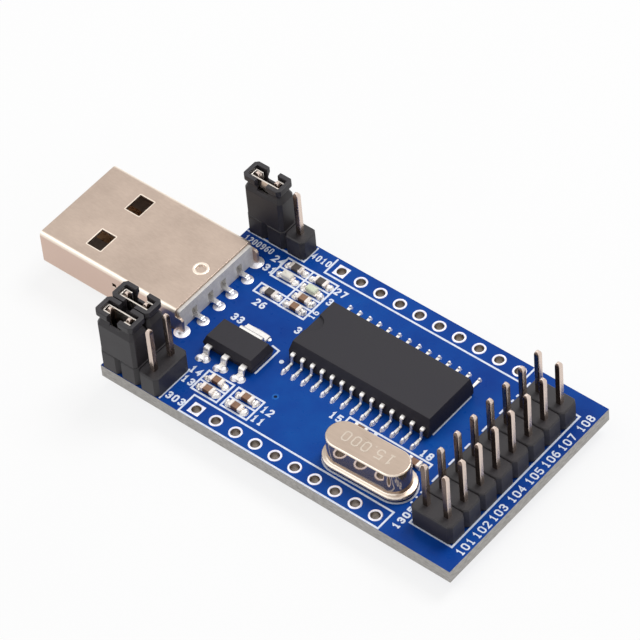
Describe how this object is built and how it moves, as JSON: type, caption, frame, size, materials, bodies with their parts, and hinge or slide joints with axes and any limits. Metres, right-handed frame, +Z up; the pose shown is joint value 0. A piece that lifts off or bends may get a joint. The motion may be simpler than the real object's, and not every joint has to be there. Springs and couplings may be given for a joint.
{
  "type": "usb to serial adapter module",
  "caption": "Blue USB to serial adapter board with a sunk metal plug, serial chip, crystal, plated hole rows, pin headers and pull-off jumper caps.",
  "frame": {"origin": "middle of the underside of the bounding box, level with the ends of the pin tails that it rests on", "axes": "+X along the board from the USB plug to the 16-pin header, +Y across the board to the side with the 3-pin header, +Z up out of the top face"},
  "size_m": [0.0598, 0.0254, 0.0115],
  "materials": {
    "board": "glossy blue mask over woven laminate",
    "plug_steel": "satin plated sheet, slightly warm",
    "can_steel": "satin drawn can",
    "plated_contact": "gold flash",
    "clip_metal": "plated spring sheet",
    "pin_metal": "plated square wire",
    "black_plastic": "moulded, semi-matte",
    "pale_nylon": "moulded, pale grey-beige",
    "moulding_compound": "dark moulded package",
    "capacitor_ceramic": "fired ceramic",
    "resistor_ceramic": "dark coated ceramic",
    "clear_lens": "clear lens over a pale base",
    "tin": "tinned, bright"
  },
  "bodies": {
    "module": {"capacitor_1_body": "capacitor_ceramic", "capacitor_1_ends": "tin", "capacitor_2_body": "capacitor_ceramic", "capacitor_2_ends": "tin", "capacitor_3_body": "capacitor_ceramic", "capacitor_3_ends": "tin", "capacitor_4_body": "capacitor_ceramic", "capacitor_4_ends": "tin", "capacitor_5_body": "capacitor_ceramic", "capacitor_5_ends": "tin", "capacitor_6_body": "capacitor_ceramic", "capacitor_6_ends": "tin", "capacitor_7_body": "capacitor_ceramic", "capacitor_7_ends": "tin", "capacitor_8_body": "capacitor_ceramic", "capacitor_8_ends": "tin", "circuit_board": "board", "crystal_base": "can_steel", "crystal_can": "can_steel", "crystal_leads": "tin", "far_row_plated_holes": "tin", "header_solder_joints": "tin", "light_1_body": "clear_lens", "light_1_ends": "tin", "light_2_body": "clear_lens", "light_2_ends": "tin", "mode_header_base": "black_plastic", "mode_header_pins": "pin_metal", "near_row_plated_holes": "tin", "regulator_body": "moulding_compound", "regulator_leads": "tin", "regulator_tab": "tin", "resistor_1_body": "resistor_ceramic", "resistor_1_ends": "tin", "resistor_2_body": "resistor_ceramic", "resistor_2_ends": "tin", "resistor_3_body": "resistor_ceramic", "resistor_3_ends": "tin", "serial_chip_body": "moulding_compound", "serial_chip_far_leads": "tin", "serial_chip_near_leads": "tin", "signal_header_base": "black_plastic", "signal_header_pins": "pin_metal", "supply_header_base": "black_plastic", "supply_header_pins": "pin_metal", "usb_contact_1": "plated_contact", "usb_contact_2": "plated_contact", "usb_contact_3": "plated_contact", "usb_contact_4": "plated_contact", "usb_insulator": "pale_nylon", "usb_shell": "plug_steel", "usb_solder_joints": "tin"},
    "supply_cap_near": {"supply_cap_near_clip": "clip_metal", "supply_cap_near_housing": "black_plastic"},
    "supply_cap_far": {"supply_cap_far_clip": "clip_metal", "supply_cap_far_housing": "black_plastic"},
    "mode_cap": {"mode_cap_clip": "clip_metal", "mode_cap_housing": "black_plastic"}
  },
  "joints": [
    {"name": "supply_cap_near_pull", "type": "slide", "parent": "module", "child": "supply_cap_near", "axis": [0, 0, 1], "range_m": [0, 0.0065]},
    {"name": "supply_cap_far_pull", "type": "slide", "parent": "module", "child": "supply_cap_far", "axis": [0, 0, 1], "range_m": [0, 0.0065]},
    {"name": "mode_cap_pull", "type": "slide", "parent": "module", "child": "mode_cap", "axis": [0, 0, 1], "range_m": [0, 0.0065]}
  ]
}
